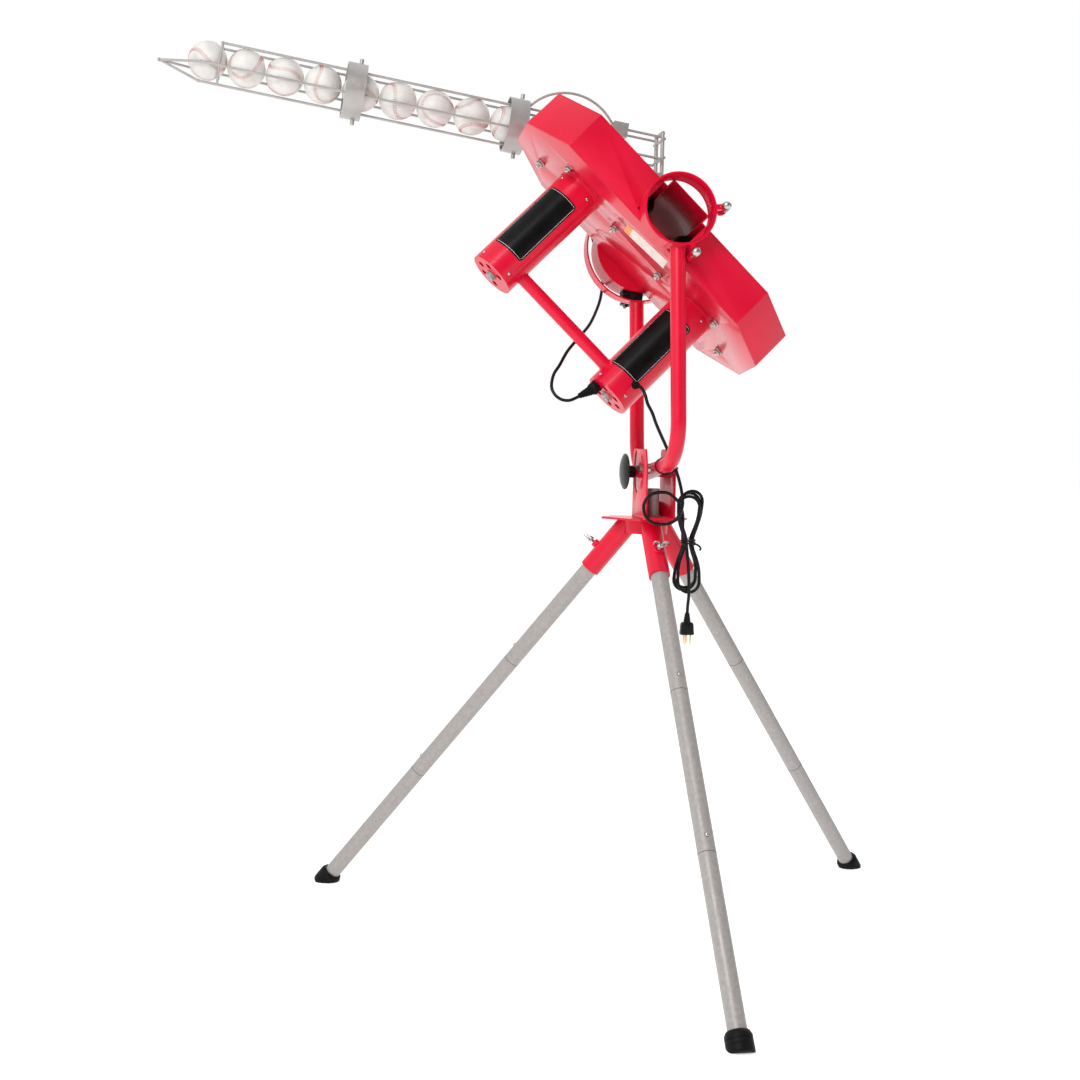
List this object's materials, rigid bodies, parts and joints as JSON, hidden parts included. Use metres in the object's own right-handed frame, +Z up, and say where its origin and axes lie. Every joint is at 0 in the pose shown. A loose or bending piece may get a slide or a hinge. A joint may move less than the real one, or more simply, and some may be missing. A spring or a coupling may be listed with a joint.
{
  "type": "baseball pitching machine",
  "caption": "Two-wheel ball throwing machine: a red housing with twin motors, turning in a tilting yoke on a three-leg stand, fed from a sloping wire rack of baseballs.",
  "frame": {"origin": "point on the ground under the centre of the three-leg stand", "axes": "+Z up, balls leave towards -Y, +X is to the right seen from in front of the machine"},
  "size_m": [1.5211, 1.0408, 1.6601],
  "materials": {
    "red_paint": "gloss",
    "grey_hammertone": "hammertone",
    "grey_wire": "satin",
    "black_rubber": "matt",
    "tyre_rubber": "satin",
    "black_plastic": "matt",
    "steel_bolts": "bright zinc plated",
    "machined_steel": "turned",
    "hub_metal": "cast and turned",
    "copper_windings": "enamelled wire",
    "ball_leather": "smooth",
    "cord_jacket": "satin",
    "plug_body": "moulded"
  },
  "bodies": {
    "tripod": {"tripod_head": "red_paint", "swivel_post": "grey_hammertone", "foot_caps": "black_rubber", "front_leg_upper": "grey_hammertone", "front_leg_middle": "grey_hammertone", "front_leg_lower": "grey_hammertone", "right_leg_upper": "grey_hammertone", "right_leg_middle": "grey_hammertone", "right_leg_lower": "grey_hammertone", "left_leg_upper": "grey_hammertone", "left_leg_middle": "grey_hammertone", "left_leg_lower": "grey_hammertone"},
    "bracket": {"tilt_bracket": "red_paint", "pivot_bolt": "steel_bolts", "power_cord": "cord_jacket", "cord_hank": "cord_jacket", "power_plug": "plug_body"},
    "yoke": {"yoke_tube": "red_paint", "front_ring": "red_paint", "rear_ring": "red_paint", "ring_bolts": "steel_bolts", "guide_pads": "black_rubber", "feeder_rack": "grey_wire", "drop_chute": "grey_wire", "feeder_motor": "black_plastic"},
    "head": {"motor_panel": "red_paint", "far_panel": "red_paint", "rim_strip": "red_paint", "housing_bolts": "steel_bolts", "rear_drum": "red_paint", "motor_brace": "red_paint", "upper_motor_case": "red_paint", "lower_motor_case": "red_paint", "motor_stators": "copper_windings", "motor_bearings": "machined_steel", "upper_end_cap": "red_paint", "lower_end_cap": "red_paint", "cord_fittings": "black_rubber", "jumper_cord": "cord_jacket"},
    "upper_wheel": {"upper_tyre": "tyre_rubber", "upper_wheel_hub": "hub_metal", "upper_rotor": "machined_steel"},
    "lower_wheel": {"lower_tyre": "tyre_rubber", "lower_wheel_hub": "hub_metal", "lower_rotor": "machined_steel"},
    "upper_dial": {"upper_dial": "grey_hammertone"},
    "lower_dial": {"lower_dial": "grey_hammertone"},
    "tilt_knob": {"tilt_knob": "black_plastic"},
    "roll_lock": {"roll_lock_screw": "black_plastic"},
    "feeder_wheel": {"feeder_wheel": "machined_steel"},
    "balls": {"baseballs": "ball_leather"},
    "front_wing": {"front_wing_screw": "steel_bolts"},
    "front_button_upper_body": {"front_button_upper": "steel_bolts"},
    "front_button_lower_body": {"front_button_lower": "steel_bolts"},
    "right_wing": {"right_wing_screw": "steel_bolts"},
    "right_button_upper_body": {"right_button_upper": "steel_bolts"},
    "right_button_lower_body": {"right_button_lower": "steel_bolts"},
    "left_wing": {"left_wing_screw": "steel_bolts"},
    "left_button_upper_body": {"left_button_upper": "steel_bolts"},
    "left_button_lower_body": {"left_button_lower": "steel_bolts"}
  },
  "joints": [
    {"name": "pan", "type": "hinge", "parent": "tripod", "child": "bracket", "pos_m": [0, -0.05, 0.8], "axis": [0, 0, 1], "range_deg": [-12, 25], "deforming": ["power_cord"]},
    {"name": "tilt", "type": "hinge", "parent": "bracket", "child": "yoke", "pos_m": [0, -0.068, 0.872], "axis": [-1, 0, 0], "range_deg": [-30, 25], "deforming": ["power_cord"]},
    {"name": "head_roll", "type": "hinge", "parent": "yoke", "child": "head", "pos_m": [0, -0.00992, 1.31319], "axis": [0, -0.9914, 0.1305], "range_deg": [-45, 45], "deforming": ["jumper_cord", "power_cord"]},
    {"name": "upper_wheel_spin", "type": "hinge", "parent": "head", "child": "upper_wheel", "pos_m": [-0.10819, 0.00024, 1.42098], "axis": [0.7071, 0.0923, 0.7011], "continuous": true},
    {"name": "lower_wheel_spin", "type": "hinge", "parent": "head", "child": "lower_wheel", "pos_m": [0.10819, -0.028, 1.20645], "axis": [0.7071, 0.0923, 0.7011], "continuous": true},
    {"name": "upper_dial_turn", "type": "hinge", "parent": "head", "child": "upper_dial", "pos_m": [-0.31678, -0.02699, 1.21416], "axis": [0.7071, 0.0923, 0.7011], "range_deg": [0, 270]},
    {"name": "lower_dial_turn", "type": "hinge", "parent": "head", "child": "lower_dial", "pos_m": [-0.10041, -0.05523, 0.99964], "axis": [0.7071, 0.0923, 0.7011], "range_deg": [0, 270]},
    {"name": "tilt_knob_turn", "type": "hinge", "parent": "yoke", "child": "tilt_knob", "pos_m": [-0.045, -0.01248, 0.86469], "axis": [-1, 0, 0], "range_deg": [-180, 0]},
    {"name": "roll_lock_turn", "type": "hinge", "parent": "yoke", "child": "roll_lock", "pos_m": [-0.0113, 0.14661, 1.19973], "axis": [0, 0.9914, -0.1305], "range_deg": [-180, 0]},
    {"name": "feeder_wheel_spin", "type": "hinge", "parent": "yoke", "child": "feeder_wheel", "pos_m": [-0.062, 0.22, 1.435], "axis": [0, 1, 0], "continuous": true},
    {"name": "ball_row", "type": "slide", "parent": "yoke", "child": "balls", "axis": [-0.9898, 0, 0.1426], "range_m": [0, 0.006]},
    {"name": "front_wing_screw_turn", "type": "hinge", "parent": "tripod", "child": "front_wing", "pos_m": [0, -0.10434, 0.72901], "axis": [0, -0.7734, 0.6339], "range_deg": [0, 90]},
    {"name": "front_button_upper_press", "type": "slide", "parent": "tripod", "child": "front_button_upper_body", "axis": [0, 0.7734, -0.6339], "range_m": [0, 0.003], "stiffness_N_per_m": 300},
    {"name": "front_button_lower_press", "type": "slide", "parent": "tripod", "child": "front_button_lower_body", "axis": [0, 0.7734, -0.6339], "range_m": [0, 0.003], "stiffness_N_per_m": 300},
    {"name": "right_wing_screw_turn", "type": "hinge", "parent": "tripod", "child": "right_wing", "pos_m": [0.09036, 0.05217, 0.72901], "axis": [0.6698, 0.3867, 0.6339], "range_deg": [0, 90]},
    {"name": "right_button_upper_press", "type": "slide", "parent": "tripod", "child": "right_button_upper_body", "axis": [-0.6698, -0.3867, -0.6339], "range_m": [0, 0.003], "stiffness_N_per_m": 300},
    {"name": "right_button_lower_press", "type": "slide", "parent": "tripod", "child": "right_button_lower_body", "axis": [-0.6698, -0.3867, -0.6339], "range_m": [0, 0.003], "stiffness_N_per_m": 300},
    {"name": "left_wing_screw_turn", "type": "hinge", "parent": "tripod", "child": "left_wing", "pos_m": [-0.09036, 0.05217, 0.72901], "axis": [-0.6698, 0.3867, 0.6339], "range_deg": [0, 90]},
    {"name": "left_button_upper_press", "type": "slide", "parent": "tripod", "child": "left_button_upper_body", "axis": [0.6698, -0.3867, -0.6339], "range_m": [0, 0.003], "stiffness_N_per_m": 300},
    {"name": "left_button_lower_press", "type": "slide", "parent": "tripod", "child": "left_button_lower_body", "axis": [0.6698, -0.3867, -0.6339], "range_m": [0, 0.003], "stiffness_N_per_m": 300}
  ]
}
